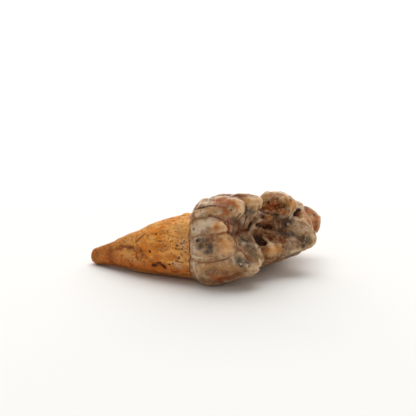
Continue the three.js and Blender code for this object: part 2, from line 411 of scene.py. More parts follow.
# The stains and lines that the camera sees, pigment by pigment. Pale and chalk are worn spots, tan,
# amber and orange the iron in the enamel, umber, slate and olive what the earth left on it, rust and
# dark the pits; a few pale and chalk strokes along edges and crests are painted highlights, and a few
# umber, orange and dark strokes are painted shade. A stroke gives how far it reaches in pixels, how
# strong it is, and its line.
STAINS = {
    "pale": [
        # the hind half
        # painted highlight along the top of the first tongue cusp
        (4, 0.7, [(209, 199), (213, 198.4), (219, 197.4)]),
        (7, 0.6, [(199, 203.6), (207, 203), (213, 203)]),
        # painted highlight on the tip of the first tongue cusp
        (2.6, 0.8, [(243.4, 202), (244, 206)]),
        (10, 0.9, [(196, 228), (203, 226), (210, 223)]),
        (6, 0.6, [(197, 214), (206, 211.6)]),
        (6, 0.7, [(196, 241), (194, 246), (194, 251)]),
        (2.6, 1.0, [(193, 256.5), (197, 257.4), (201.6, 257.6)]),
        (5.4, 0.8, [(233.5, 257), (234.5, 262)]),
        (4, 0.8, [(193.4, 262), (194.6, 270), (198, 277)]),
        (2.8, 0.9, [(235.4, 244.6)]),
        (2.2, 0.9, [(244.2, 215)]),
        (2.4, 0.6, [(244.5, 223), (248, 220.6), (251, 218)]),
        (5, 0.6, [(249, 196.6), (254, 197)]),
        (5, 0.5, [(239.6, 201), (242, 205), (242, 210)]),
        (7, 0.5, [(253.6, 199), (257, 201), (257.6, 204)]),
        (6, 0.5, [(223.6, 238), (227.6, 240)]),
        (6, 0.6, [(252.6, 247), (255, 253)]),
        (5, 0.6, [(240.6, 236.6), (245, 239)]),
        # the front half
        (2.4, 0.7, [(253.6, 221.8), (256.2, 217.3)]),
        (5, 0.8, [(263.6, 194), (268, 192.6)]),
        (3, 0.6, [(273, 201.4), (276, 201.6)]),
        (2.6, 0.9, [(283, 197)]),
        (3, 0.8, [(288.4, 197.8), (291, 199.2)]),
        (2.6, 0.8, [(281.4, 208.6), (283.6, 208.8)]),
        (3.0, 0.7, [(259.8, 212.4), (260.6, 213.4)]),
        (4.4, 0.9, [(258, 220.8), (262, 220.2)]),
        (3, 0.6, [(265, 215), (270, 215)]),
        (7, 1.0, [(297.6, 203.6), (301.6, 206), (302.6, 209)]),
        (4, 0.4, [(293, 200.6), (295, 204), (294.6, 207)]),
        (6, 0.8, [(281, 218.6), (283, 222)]),
        (7, 0.62, [(310, 213), (312.6, 218)]),
        (7, 0.7, [(291, 247), (293, 249)]),
        (2.4, 0.6, [(266, 236), (267, 237)]),
        (2.2, 0.6, [(273.6, 234.4)]),
        (2.2, 0.5, [(259.4, 232.6)]),
        (12, 0.66, [(294, 221), (299, 227), (303, 231)]),
        (3, 0.7, [(292.6, 218)]),
        (3, 0.8, [(268, 244.4), (275.6, 243.8)]),
        (2.6, 0.45, [(276, 238), (280, 235)]),
        (12, 0.72, [(287, 246), (293, 248), (297, 247)]),
        (3, 0.5, [(313, 212), (317, 216)]),
        (2.6, 0.8, [(312.6, 238), (313.4, 242)]),
        # painted highlight along the crest of the tall cusp
        (2.0, 0.6, [(303, 218.6), (309, 225.4), (315, 231.6)]),
        # the root
        (4.5, 0.55, [(139.5, 243)]),
        (2.0, 0.4, [(127.6, 251.1), (135.8, 248.9)]),
        (4.5, 0.4, [(137.6, 257.4)]),
        (8, 0.7, [(177, 266), (180, 268)]),
        (4, 0.25, [(139, 247), (140, 254)]),
        (9, 0.55, [(181, 243), (186, 246)]),
        (7, 0.5, [(180, 220), (187, 217)]),
    ],
    "tan": [
        # the hind half
        (8, 0.9, [(239.6, 203), (241.4, 208)]),
        (11, 0.95, [(247, 199), (252, 201), (256, 204)]),
        (7, 0.7, [(228.6, 237), (229.6, 244), (228.6, 251)]),
        (6, 0.8, [(223.4, 225), (225.6, 228.6)]),
        (4.6, 0.8, [(230.6, 239), (231.4, 245), (230.4, 251)]),
        (9, 0.7, [(228, 215), (233, 216.6)]),
        (5, 0.6, [(251, 236), (257, 246.5), (259, 254), (259.6, 262)]),
        (8, 0.6, [(196, 212), (206, 211), (214, 211)]),
        (14, 0.55, [(204, 268), (212, 268), (226, 266), (236, 268)]),
        (13, 0.6, [(210, 266), (232, 268)]),
        # the front half
        (8, 0.8, [(261, 200), (265, 195.6)]),
        (11, 0.95, [(288, 199), (292, 203), (294, 209)]),
        (9, 0.6, [(263, 232), (270, 235), (275, 236)]),
        (9, 0.6, [(262, 196), (268, 194), (276, 193.6), (284, 195.6)]),
        (7, 0.9, [(300, 204), (302.6, 209), (303, 213)]),
        (13, 0.9, [(266, 250), (272, 249), (279, 249)]),
        (13, 0.95, [(305, 212), (309, 218), (314, 225)]),
        # the root
        (16, 0.75, [(180, 226), (184, 240), (184, 252), (182, 262)]),
        (10, 0.5, [(150, 226), (165, 221), (180, 217)]),
        (7, 0.6, [(126, 256), (136, 262), (148, 266)]),
    ],
    "amber": [
        # the hind half
        (11, 0.85, [(225, 240), (228, 245), (227, 251)]),
        (6, 0.6, [(253.6, 200), (257, 202)]),
        (4.6, 0.6, [(240.6, 202), (242, 206)]),
        (10, 0.5, [(220, 237), (221, 246), (220, 253)]),
        (9, 0.8, [(238, 202.6), (240, 208)]),
        (9, 1.0, [(217, 226.6), (220.6, 226)]),
        (9, 0.35, [(246, 201), (255, 203)]),
        # the front half
        (5, 0.7, [(292, 200.6), (294.6, 204), (294, 207)]),
        (10, 0.75, [(287, 199), (291, 204), (293, 209)]),
        (9, 0.62, [(267, 249), (272, 250), (278, 249)]),
        (7, 0.8, [(263.6, 207), (268, 210.6)]),
        (6, 0.7, [(294.6, 201.6), (296.6, 204.6)]),
        (7, 0.8, [(280, 211.4), (285, 211)]),
        (6, 0.8, [(266, 217.4), (271, 218.4)]),
        (6, 0.5, [(266, 261), (276, 260.4)]),
        (6, 0.6, [(301, 205), (302, 210)]),
    ],
    "umber": [
        # the hind half
        (9, 0.7, [(206, 274), (216, 274), (228, 272), (240, 271)]),
        (8, 1.0, [(204, 280.6), (214, 281.4), (226, 278), (240, 273.6)]),
        (5, 1.0, [(212, 196.6), (222, 195.4), (236, 195), (250, 195)]),
        (8, 0.75, [(219, 203.4), (226, 204), (233, 204)]),
        (8, 0.7, [(221, 207), (226, 211), (225, 214)]),
        (6, 0.55, [(217.6, 235), (219, 243), (218.4, 251)]),
        (6.4, 1.0, [(234.4, 234), (235.4, 240), (236, 244)]),
        (5, 0.7, [(216, 228.6), (219, 228.6)]),
        (9, 0.8, [(234, 221), (239, 227), (245, 231)]),
        # the front half
        (9, 0.5, [(262, 198), (266, 194.6), (273, 193)]),
        (8, 0.5, [(272, 194), (280, 194), (286, 197)]),
        (6, 0.8, [(269, 198), (273, 197.4), (277, 198)]),
        (15, 0.95, [(267, 207), (273, 207), (281, 208)]),
        (11, 1.0, [(259, 213), (265, 217), (272, 220)]),
        (8, 0.9, [(257, 223), (264, 224), (272, 225)]),
        (6, 0.75, [(263, 258.4), (270, 259.6), (277, 259)]),
        (6, 0.9, [(265, 261.6), (275, 261)]),
        (8, 0.8, [(283, 235), (291, 237)]),
        (8, 0.8, [(294, 215.6), (297, 212), (300, 214)]),
        (4, 0.8, [(305.6, 206), (306, 212)]),
        (7, 0.55, [(304.8, 211), (306.6, 217), (310, 223), (313.4, 228.4)]),
        (3.6, 1.0, [(304.4, 211), (306.6, 215), (309.2, 219)]),
        (6, 0.4, [(316, 222), (317, 229)]),
        (5, 0.8, [(313.4, 228), (314.6, 232)]),
        # the root
        (8, 0.6, [(178, 268), (188, 270)]),
        # painted shade along the root's underside
        (8, 1.0, [(100, 264), (118, 265.6), (140, 270), (165, 274), (189, 275.6)]),
        (8, 0.35, [(92, 255), (97, 250), (104, 250)]),
        (7, 0.6, [(128, 249), (140, 252), (146, 256)]),
        (5, 0.6, [(150, 262), (166, 267)]),
    ],
    "slate": [
        # the hind half
        (3, 0.9, [(193.8, 229)]),
        (4.6, 1.0, [(199.6, 240.6)]),
        (6, 0.95, [(203.6, 239.6)]),
        (8, 0.95, [(201, 246)]),
        (10, 0.6, [(202, 243), (208, 246), (206, 250)]),
        (8, 0.9, [(207.6, 246), (209.6, 246.6)]),
        (6.4, 0.9, [(204.6, 252), (208, 252)]),
        (4.4, 0.7, [(211, 251.6)]),
        (5, 0.8, [(207, 240.6)]),
        (4, 0.7, [(211.4, 270)]),
        (2.2, 0.7, [(205.5, 271.9), (214, 268.7)]),
        (8, 0.95, [(239.4, 260.6), (242.6, 263.6)]),
        (5, 0.7, [(247.6, 263)]),
        (14, 0.75, [(243, 240), (248, 243), (252, 249)]),
        (9, 0.45, [(232, 221), (233, 228), (236, 234)]),
        (10, 0.75, [(234, 220), (238.6, 223), (239.6, 227)]),
        (11, 0.7, [(248, 211), (255, 211.6)]),
        # the front half
        (5, 0.9, [(262, 211), (263, 215)]),
        (13, 0.80, [(278, 218), (283, 221), (282, 229)]),
        (8, 0.8, [(288, 217), (290, 221)]),
        (8, 0.4, [(281, 221), (285, 226), (284, 231)]),
        (5, 0.7, [(286, 257.6), (293, 254.8), (300, 251)]),
        (6, 1.0, [(283, 233.6), (288, 234.4)]),
        (5, 0.9, [(291, 233), (294, 235)]),
        (6, 0.9, [(298, 238), (302, 241)]),
        (7, 1.0, [(303.7, 246.4)]),
        (8, 0.95, [(303, 238), (307, 241)]),
        (7, 0.8, [(298, 243), (300, 246)]),
        (6, 0.95, [(286, 256.4), (291, 254.6), (297, 252.4)]),
        (4, 0.9, [(305, 206.4), (307, 209)]),
        *dots(3.6, 0.95, (288.6, 253.4), (295, 254)),
    ],
    "olive": [
        # the hind half
        (8, 0.8, [(201, 277), (205, 279.6)]),
        (8, 0.6, [(250.6, 246), (254, 250)]),
        (6, 0.85, [(255.6, 249), (257.6, 254), (258, 259)]),
        (2.0, 1.0, [(190.9, 223.1), (193.2, 220.5), (197.7, 218.9), (202.3, 217.9), (208.1, 217.3)]),
        # the front half
        (9, 0.9, [(281, 204), (286, 206)]),
        (7, 0.7, [(267, 200), (273, 199)]),
        (7, 0.6, [(285, 256), (294, 252.6)]),
        (5, 0.8, [(277, 212.6)]),
        (6, 0.7, [(285, 213)]),
        (9, 0.8, [(262, 247), (264, 249)]),
        (13, 0.6, [(287, 247), (292, 249), (298, 247)]),
        (9, 0.8, [(309.6, 238), (312, 242)]),
        (7, 0.9, [(298, 233.6)]),
        (6, 0.8, [(310, 232), (313, 235)]),
        (3.4, 0.9, [(296.6, 253.6), (303, 249.4)]),
        # the root
        (3.4, 0.8, [(96, 251), (98, 255)]),
        (4, 0.7, [(93, 257), (96, 261.6)]),
        (3.4, 0.6, [(102, 254)]),
    ],
    "orange": [
        # the hind half
        (8, 0.85, [(218, 201), (226, 200.4), (234, 201.6)]),
        (5, 0.6, [(223.5, 208.6), (227, 212)]),
        (3.2, 0.9, [(219.4, 216.4), (223, 214.6), (227.6, 212.1), (230.9, 210.1)]),
        (5, 0.75, [(217, 228), (219, 227.2)]),
        (6, 0.4, [(219.4, 240), (221, 247), (220, 253)]),
        (7, 0.9, [(214, 277.4), (221, 277.8)]),
        (4, 0.4, [(257.8, 202.6), (258.2, 205)]),
        (5, 0.8, [(229.4, 222), (229.8, 231)]),
        # the front half
        (5, 0.5, [(270, 196), (276, 195), (283, 195.4)]),
        (8, 1.0, [(274, 204), (278, 204.6)]),
        (5, 1.0, [(280.6, 211), (283, 211.6)]),
        (6, 0.8, [(269, 207.6), (272, 209)]),
        (4, 0.6, [(262.6, 221.2), (267, 219), (271, 216.6)]),
        (4, 0.8, [(256.6, 222.6), (259.6, 223)]),
        (4, 0.35, [(300, 211.4)]),
        (6, 0.8, [(306.6, 210.6), (311, 213)]),
        (8, 0.62, [(305, 212), (307.4, 218), (311, 224), (314, 228.6)]),
        (4, 0.9, [(304.6, 211.6), (306.6, 215), (309.2, 219)]),
        (7, 0.7, [(308, 217), (312, 222)]),
        (8, 0.95, [(316.4, 219), (318, 224), (317, 229)]),
        (5, 0.9, [(317.6, 218), (319, 222), (318.6, 227)]),
        (7, 0.6, [(271, 204), (276, 209)]),
        (6, 0.6, [(264, 238.6), (270, 238)]),
        # the root
        # the root's underside, darker and more orange: partly its own colour, partly painted shade
        (11, 0.85, [(122, 262), (145, 266.6), (168, 269.6), (186, 271)]),
        (8, 0.6, [(150, 246.4), (158, 246.2), (167, 246.4)]),
        (6, 0.7, [(155, 257.4), (165, 257.2), (175, 257.2)]),
    ],
    "rust": [
        # the hind half
        (4, 0.45, [(220.6, 200.8), (230.6, 200.6)]),
        (3.2, 0.6, [(217.9, 228.6)]),
        (7, 1.0, [(227.6, 221.6), (229, 226), (229.4, 231)]),
        (5, 1.0, [(220, 279), (221.4, 282)]),
        (5, 0.75, [(234, 247.4), (239, 249)]),
        (8, 0.55, [(234, 231), (242, 233), (247, 229)]),
        # the front half
        (5, 0.7, [(256, 231.6), (261, 235)]),
        (6, 0.6, [(267, 235), (275, 237)]),
        (6, 0.9, [(275.4, 205.4)]),
        (4, 0.5, [(299.6, 210.6)]),
        (5, 0.7, [(297, 216)]),
        (9, 0.46, [(254.6, 232), (262, 233), (270, 235.6), (274, 236)]),
        (6, 0.9, [(256.4, 236), (259, 238)]),
        (6.4, 1.0, [(281.2, 239.4), (282.6, 242)]),
        (4.4, 0.8, [(270, 240.4), (271.4, 242)]),
        (4.4, 0.5, [(284.6, 258.4), (288, 257.4)]),
        (3.4, 0.9, [(313.8, 215)]),
        (4.4, 0.5, [(316.6, 222), (316.6, 227)]),
        *dots(3.6, 1.0, (268.6, 202.4), (290.3, 200.4), (283, 246.6)),
        # the root
        (11, 0.66, [(110, 246), (109.6, 255), (110, 264)]),
        (2.6, 0.9, [(135.8, 242.3), (140.2, 237.8), (144.3, 234.5)]),
        (3, 0.7, [(141, 250), (143.6, 254), (141, 258.4)]),
        (3, 0.7, [(136.6, 253), (136, 257), (138, 261)]),
        (5, 0.7, [(114, 250), (122, 248)]),
        (3, 0.7, [(171, 267), (173, 272), (178, 272)]),
        (3, 0.6, [(129, 262), (136, 267)]),
        (7, 0.6, [(153, 264), (166, 267)]),
        (3, 0.6, [(181, 254), (186, 260)]),
        (4, 0.7, [(119.5, 246.5), (127, 246.3)]),
        (4, 0.8, [(130, 247.4), (133.6, 247.8)]),
        *dots(2.8, 0.8, (161.4, 227), (188.3, 266.7), (121.7, 255.6)),
        *dots(
            2.6, 0.8,
            (175.7, 223.6), (167.6, 231.5), (159.5, 240.9), (128.4, 260.7), (131.3, 266.3),
            (175, 271.8),
        ),
    ],
    "dark": [
        # the hind half
        (3, 1.0, [(251, 223.1), (249, 226.4), (247.8, 229.6)]),
        (2.4, 0.9, [(228, 232), (233, 234.4), (238, 232), (243, 229.6), (248, 230)]),
        (3.4, 1.0, [(197.1, 241)]),
        (4.0, 0.6, [(210, 246.6)]),
        (2.6, 0.6, [(202, 239)]),
        (2.4, 0.6, [(201.6, 251)]),
        (2.4, 1.0, [(230.9, 210.1)]),
        (2.0, 1.0, [(227.6, 231)]),
        (2.2, 0.9, [(227.6, 221.8), (231.5, 224.4)]),
        (2.2, 0.88, [(194.5, 210.4), (198.4, 208.5), (204.2, 207.5), (208.8, 206.2), (215.3, 205.9)]),
        (1.5, 0.7, [(232, 231), (237, 232.4), (243, 234.6), (249, 238.6)]),
        (1.5, 0.6, [(236, 229), (241, 231.4), (246, 233)]),
        (2.6, 0.9, [(244.5, 212.7)]),
        (2.6, 0.9, [(246.6, 216), (245, 221), (243, 227)]),
        (7, 1.0, [(258, 239.4), (262, 241.6)]),
        # painted shade in the gap between the cheek cusp's rim and the cusplet beside it
        (3.6, 0.9, [(258.6, 245), (258.6, 247.6)]),
        (2.8, 0.6, [(261, 251), (262.4, 256), (262.6, 262)]),
        (3.4, 1.0, [(262, 264), (260.4, 268)]),
        *dots(1.9, 1.0, (240.6, 266.4), (249, 266.7), (253.3, 248.5), (248, 246)),
        # the front half
        (2.6, 0.7, [(273.4, 197.8)]),
        (3, 0.7, [(274.8, 205.6)]),
        (3.4, 0.9, [(280, 206.8), (284, 205.8)]),
        (4, 1.0, [(260.6, 209.4), (263.6, 211.6)]),
        (3.6, 1.0, [(263.4, 214), (262.6, 217)]),
        (3, 1.0, [(259.4, 215.6)]),
        (3, 0.9, [(266.6, 213), (269, 213.4)]),
        (3.2, 0.9, [(272, 214.4), (278, 214.6)]),
        (4.6, 1.0, [(257.4, 225.6), (262, 225.8), (266, 226.6)]),
        (3.6, 1.0, [(266, 227), (272, 228.4)]),
        (4, 0.7, [(273, 222), (273.6, 227)]),
        (3, 0.7, [(255.4, 223.4), (258.4, 223.8)]),
        (2.8, 0.9, [(279.2, 231)]),
        (5, 0.9, [(255.6, 236), (260, 237)]),
        (5, 1.0, [(262.4, 243), (265, 243)]),
        (3.6, 0.8, [(261, 246), (265, 246)]),
        (3.6, 0.9, [(270, 240.8), (271.4, 242)]),
        (4.4, 0.8, [(295, 212), (297, 210.6), (299, 209.8)]),
        (4.4, 0.5, [(289.4, 240.8), (292, 241.8), (295, 240.8)]),
        (3.4, 0.6, [(282.4, 250.6), (282, 254.4), (278.6, 257.8)]),
        (3, 0.6, [(285, 258.8), (289, 257.2)]),
        (3, 0.7, [(296, 254.6), (303, 251)]),
        *dots(2.6, 1.0, (268.6, 202.4), (285.8, 224.6)),
        # the root
        (3.2, 0.9, [(156, 234)]),
        (1.8, 0.9, [(160.2, 234.1)]),
        (3.0, 1.0, [(149.8, 251.6)]),
        (2.6, 1.0, [(177.1, 245.6)]),
        (2.8, 1.0, [(179.1, 257.8)]),
        (3.6, 0.8, [(152.8, 265), (156.6, 265.6)]),
        (2.4, 0.8, [(156, 263), (161, 262.6)]),
        (3.4, 1.0, [(162.2, 264.6), (165, 267.6)]),
        (1.8, 0.7, [(166, 263), (171, 266)]),
        (2.2, 0.8, [(189.6, 264), (190.6, 268)]),
        (1.8, 0.7, [(188, 262), (190, 258)]),
        (1.8, 0.75, [(121.7, 255.4)]),
        (1.8, 0.7, [(131, 247), (133.4, 248)]),
        (2.0, 0.9, [(164.3, 263)]),
        (2.4, 0.9, [(169.8, 264.4)]),
        (2.2, 0.9, [(172.8, 263.7)]),
        (1.9, 0.8, [(175, 249.3), (182.4, 248.8)]),
        (1.9, 0.8, [(176.1, 261.1), (183.1, 263)]),
        (2.0, 0.8, [(141.3, 251.1)]),
        (2.2, 0.8, [(137.4, 257), (138.4, 258.6)]),
        *dots(1.8, 0.8, (140.2, 260.7), (143.9, 261.5)),
        *dots(1.8, 0.9, *ROOT_PORES),
    ],
    "chalk": [
        # the hind half
        (7, 0.62, [(243.2, 243.9)]),
        # painted highlight along the raised rim of the cheek cusp's worn face
        (1.8, 0.85, [(249.4, 232.6), (252.6, 237.6), (255.4, 241), (256.8, 247)]),
        (2.0, 0.8, [(259.6, 259.5), (260.2, 264.7), (257.5, 269.6)]),
        # painted highlights along the top and the tip of the first tongue cusp
        (1.8, 0.7, [(206, 199.2), (213, 197.8), (222, 197)]),
        (1.8, 0.6, [(241.6, 201), (243.6, 205), (243, 210)]),
        (1.6, 0.7, [(226.6, 222.6), (227.6, 227)]),
        *dots(4, 0.4, (204.4, 243.6), (202.8, 249.6)),
        *dots(1.8, 0.9, (241, 264.1), (246.8, 265.4)),
        # the front half
        (2.4, 0.9, [(289.6, 218), (292, 214), (295, 209.6)]),
        (2.2, 0.8, [(297, 207), (300, 206.6), (302.6, 209)]),
        (2.6, 1.0, [(287.9, 224.2)]),
        (2.2, 1.0, [(280.1, 227)]),
        (2.0, 0.5, [(306.6, 230), (306.2, 236), (304, 243)]),
        # painted highlight along the crest of the tall cusp
        (1.8, 0.6, [(303, 218.6), (309, 225.4), (315, 231.6)]),
        (1.9, 0.9, [(283, 196.8)]),
    ],
    "crack": [
        # the hind half
        (2.6, 0.9, [(215.3, 205.9), (220.5, 206.9), (226, 207.4), (234, 206.6)]),
        (2.6, 0.9, [(208.1, 217.3), (212, 215.3)]),
        (2.8, 1.0, [(215.3, 216.9), (219.8, 218.9), (223.1, 220.2), (225, 221.8)]),
        (2.6, 0.9, [(190.9, 237.8), (195.8, 236.5), (200.3, 235.2), (205.5, 234.5), (210.7, 235.2)]),
        (2.6, 0.9, [(210.7, 235.2), (214.6, 234.5), (219.2, 233.9), (224, 232.5), (228, 231.5)]),
        (2.7, 0.95, [(192.5, 260.2), (197.1, 261.5), (202.9, 262.5), (208.8, 262.5), (214.6, 261.5)]),
        (2.7, 0.95, [(214.6, 261.5), (221.1, 260.5), (226.3, 259.2), (229.6, 256.3), (230.9, 253)]),
        (2.7, 0.9, [(221.1, 279.1), (225, 277.8), (230.2, 276.1), (235.4, 273.9), (239.3, 272.6)]),
        (2.7, 0.8, [(207.5, 282.3), (215, 282.6), (223.1, 282.3)]),
        (2.8, 1.0, [(244.5, 207.5), (248.4, 206.9), (254.9, 206.5), (259.5, 205.6)]),
        (2.4, 0.8, [(226, 196.2), (232, 196.8), (238, 198.4)]),
        (2.8, 1.0, [(240.6, 250.4), (243.2, 253), (245.2, 255.6), (247.1, 257.6), (248, 260)]),
        (2.6, 0.6, [(234, 196.5), (241.9, 199), (243.9, 204.3), (245, 210)]),
    ],
}


def paint(name, places, reach, strength):
    """Lays a stroke on the named layer, which keeps the stronger where strokes cross."""
    if name not in layers:
        layers[name] = np.zeros(count, dtype=np.float32)
    corners, share = surface.touched(places, reach, soft=False)
    if len(corners):
        layers[name][corners] = np.maximum(layers[name][corners], share * strength)


for name, strokes in STAINS.items():
    for reach, strength, pixels in strokes:
        paint(name, surface.trail(pixels), reach * PIXEL, strength)

# The sides that the camera doesn't see are stained and cracked in the same way, at random: so many
# marks of each pigment on the crown and on the roots, in lengths and widths in millimetres. A spot
# counts as hidden where the tooth stops the camera's view of it well before it.
random.seed(12)
STEP, TURN, WELL_BEFORE = 0.3, 0.16, 3.5 * MM


def hidden(spot):
    """Whether the tooth itself stands between the camera and this spot."""
    met = surface.skin.ray_cast(eye, (spot - eye).normalized())[0]
    return met is not None and (met - spot).length > WELL_BEFORE


def wander(spot, heading, length):
    """A trail over the surface that keeps roughly to its heading."""
    steps = [spot]
    for _ in range(int(length / (STEP * MM))):
        heading = (heading + Vector([random.gauss(0, TURN) for _ in range(3)])).normalized()
        spot = surface.skin.find_nearest(spot + heading * STEP * MM)[0]
        steps.append(spot)
    return steps


CROWN_MARKS = {
    "crack": 22, "olive": 18, "rust": 20, "slate": 30,
    "pale": 44, "tan": 44, "orange": 18, "dark": 18,
}
ROOT_MARKS = {"dark": 190, "rust": 46, "pale": 9, "orange": 24, "olive": 10}
CRACK_LENGTH, STAIN_LENGTH, PIT_LENGTH = (3, 9), (0, 2.4), (0.3, 0.9)
CRACK_WIDTH, STAIN_WIDTHS, PIT_WIDTH = 0.3, (0.4, 0.9, 1.6, 2.2), (0.24, 0.44)
CRACK_GROOVE, CRACK_DEPTH = 0.4, 0.1
ROUND_PITS = 0.88
MARK_STRENGTH = (0.55, 0.9)
for marks, on_crown in ((CROWN_MARKS, True), (ROOT_MARKS, False)):
    for name, number in marks.items():
        placed = 0
        while placed < number:
            index = random.randrange(count)
            spot = Vector(surface.places[index])
            if (enamel[index] > 0.5) != on_crown or not hidden(spot):
                continue
            placed += 1
            length = random.uniform(*(CRACK_LENGTH if name == "crack" else STAIN_LENGTH))
            if name == "dark":
                length = 0 if random.random() < ROUND_PITS else random.uniform(*PIT_LENGTH)
                width = random.uniform(*PIT_WIDTH)
            else:
                width = CRACK_WIDTH if name == "crack" else random.choice(STAIN_WIDTHS)
            trail = wander(spot, Vector((1, 0.25 * random.gauss(0, 1), 0)), length * MM)
            paint(name, trail, width * MM, random.uniform(*MARK_STRENGTH))
            if name == "crack":
                surface.press(trail, CRACK_GROOVE * MM, CRACK_DEPTH)

# Fine growth lines run from the neck to the tips all over the enamel, pale ones and brown ones,
# and along the root, where small pores lie between them, closest together near the neck.
GROWTH_LINES, LINE_LENGTH, LINE_WIDTH = 2200, (0.6, 3.0), (0.2, 0.34)
PORES, PORE_WIDTH, FARTHEST_PORE = 900, (0.2, 0.36), 22
for _ in range(GROWTH_LINES):
    index = random.randrange(count)
    heading = Vector((1, random.gauss(0, 0.12), random.gauss(0, 0.12)))
    trail = wander(Vector(surface.places[index]), heading, random.uniform(*LINE_LENGTH) * MM)
    name = random.choice(("fleck", "vein")) if enamel[index] > 0.5 else "vein"
    paint(name, trail, random.uniform(*LINE_WIDTH) * MM, random.uniform(0.5, 1.0))
for _ in range(PORES):
    index = random.randrange(count)
    if enamel[index] < 0.1 and past_neck[index] > -FARTHEST_PORE * random.random() ** 1.6:
        spot = Vector(surface.places[index])
        paint("dark", [spot], random.uniform(*PORE_WIDTH) * MM, random.uniform(0.6, 0.95))

surface.carve()

# The hollows, finer and broader ones, are found here, to be darkened with earth and painted shade,
# and so are the crests, to be painted lighter as worn and highlit. A hollow lies below the evened
# surface, and counts in full at this depth in millimetres.
HOLLOWS = [("fine_hollow", 5, 0.05), ("broad_hollow", 60, 0.32)]
surface = Surface()
where = surface.places.astype(float)
for name, rounds, depth in HOLLOWS:
    sunk = ((evened(where, rounds) - where) * surface.outward).sum(axis=1) / MM
    layers[name] = np.clip(evened(sunk[:, None], 2)[:, 0] / depth, -1, 1) * 0.5 + 0.5
layers["rim"] = np.exp(-((past_neck / 0.14) ** 2))
layers["broken"] = broken

for name, values in layers.items():
    attribute = tooth.data.attributes.new(name, "FLOAT", "POINT")
    attribute.data.foreach_set("value", values.astype(np.float32))


def shade(red, green, blue):
    """A colour given as a picture shows it, from 0 to 255."""
    return tuple((part / 255) ** 2.2 for part in (red, green, blue)) + (1.0,)


class Wire:
    """A socket whose numbers can be written in sums, such as 1 - mask."""

    def __init__(self, finish, socket):
        self.finish, self.socket = finish, socket

    def maths(self, operation, first, second):
        return self.finish.node("Math", {"operation": operation}, {0: first, 1: second})

    def __add__(self, other):
        return self.maths("ADD", self, other)

    def __sub__(self, other):
        return self.maths("SUBTRACT", self, other)

    def __rsub__(self, other):
        return self.maths("SUBTRACT", other, self)

    def __mul__(self, other):
        return self.maths("MULTIPLY", self, other)

    __radd__, __rmul__ = __add__, __mul__


class Finish:
    """A material that is made of nodes."""

    def __init__(self, name):
        self.material = bpy.data.materials.new(name)
        self.material.use_nodes = True
        self.tree = self.material.node_tree
        self.tree.nodes.clear()

    def node(self, kind, settings, sockets, out=0):
        """Adds a node with its settings and its sockets' values or links."""
        made = self.tree.nodes.new("ShaderNode" + kind)
        for name, value in settings.items():
            setattr(made, name, value)
        for name, value in sockets.items():
            if isinstance(value, Wire):
                self.tree.links.new(value.socket, made.inputs[name])
            else:
                made.inputs[name].default_value = value
        return Wire(self, made.outputs[out])

    def shown(self, shader):
        """Makes this shader the one that the surface shows."""
        output = self.tree.nodes.new("ShaderNodeOutputMaterial")
        self.tree.links.new(shader.socket, output.inputs["Surface"])

    def blend(self, share, first, second):
        """One colour laid over another as far as the share says."""
        return self.node("Mix", {"data_type": "RGBA"}, {0: share, 6: first, 7: second}, out=2)

    def spread(self, wire, low, high, to_low=0.0, to_high=1.0):
        """Runs from to_low to to_high while the wire runs from low to high."""
        sockets = {0: wire, 1: low, 2: high, 3: to_low, 4: to_high}
        return self.node("MapRange", {"interpolation_type": "SMOOTHSTEP"}, sockets)

    def layer(self, name):
        """What was painted on this layer, from 0 to 1."""
        return self.node("Attribute", {"attribute_name": name}, {}, out="Fac")

    def grain(self, where, scale, detail):
        return self.node("TexNoise", {}, {"Vector": where, "Scale": scale, "Detail": detail})

    def patched(self, colour, patches):
        """A colour under patches: each one's pattern, its start and full level, cover and colour."""
        for pattern, start, full, cover, patch in patches:
            colour = self.blend(self.spread(pattern, start, full) * cover, colour, patch)
        return colour


fossil = Finish("fossil_tooth")
place = fossil.node("TexCoord", {}, {}, out="Object")
drawn_out = fossil.node("Mapping", {}, {"Vector": place, "Scale": (0.22, 1.0, 1.0)})
moved_off = fossil.node("Mapping", {}, {"Vector": place, "Location": (3, 1, 2)})
along = fossil.node("SeparateXYZ", {}, {"Vector": place}, out="X")

broad = fossil.grain(place, 260.0, 3.0)
patchy = fossil.grain(place, 900.0, 6.0)
mottle = fossil.grain(moved_off, 620.0, 6.0)
speckle = fossil.grain(place, 3200.0, 3.0)
streaks = fossil.grain(drawn_out, 1700.0, 5.0)
breakup = patchy * 1.9 + speckle * 1.2 + streaks * 0.4 - 1.75
fine_hollow, broad_hollow = fossil.layer("fine_hollow"), fossil.layer("broad_hollow")

# the bare enamel: grey-beige and tan, streaked from the neck to the tips
crown = fossil.blend(fossil.spread(broad, 0.38, 0.62), shade(150, 116, 88), shade(174, 128, 86))
crown = fossil.patched(
    crown,
    [
        (mottle, 0.51, 0.62, 0.65, shade(206, 172, 134)),
        (mottle, 0.47, 0.38, 0.70, shade(124, 76, 42)),
        (streaks, 0.52, 0.66, 0.25, shade(212, 186, 156)),
        (streaks, 0.46, 0.32, 0.25, shade(104, 72, 50)),
    ],
)

# the bare root: golden near the neck, browner towards the tip
root = fossil.blend(fossil.spread(broad, 0.38, 0.62), shade(224, 134, 48), shade(244, 172, 90))
root = fossil.patched(
    root,
    [
        (patchy, 0.50, 0.64, 0.50, shade(248, 188, 112)),
        (streaks, 0.46, 0.34, 0.50, shade(150, 74, 20)),
        (mottle, 0.46, 0.34, 0.50, shade(160, 86, 34)),
        (along, -4 * MM, -14 * MM, 0.62, shade(164, 90, 40)),
        (speckle, 0.38, 0.30, 0.60, shade(84, 40, 14)),
    ],
)

colour = fossil.blend(fossil.layer("enamel"), root, crown)
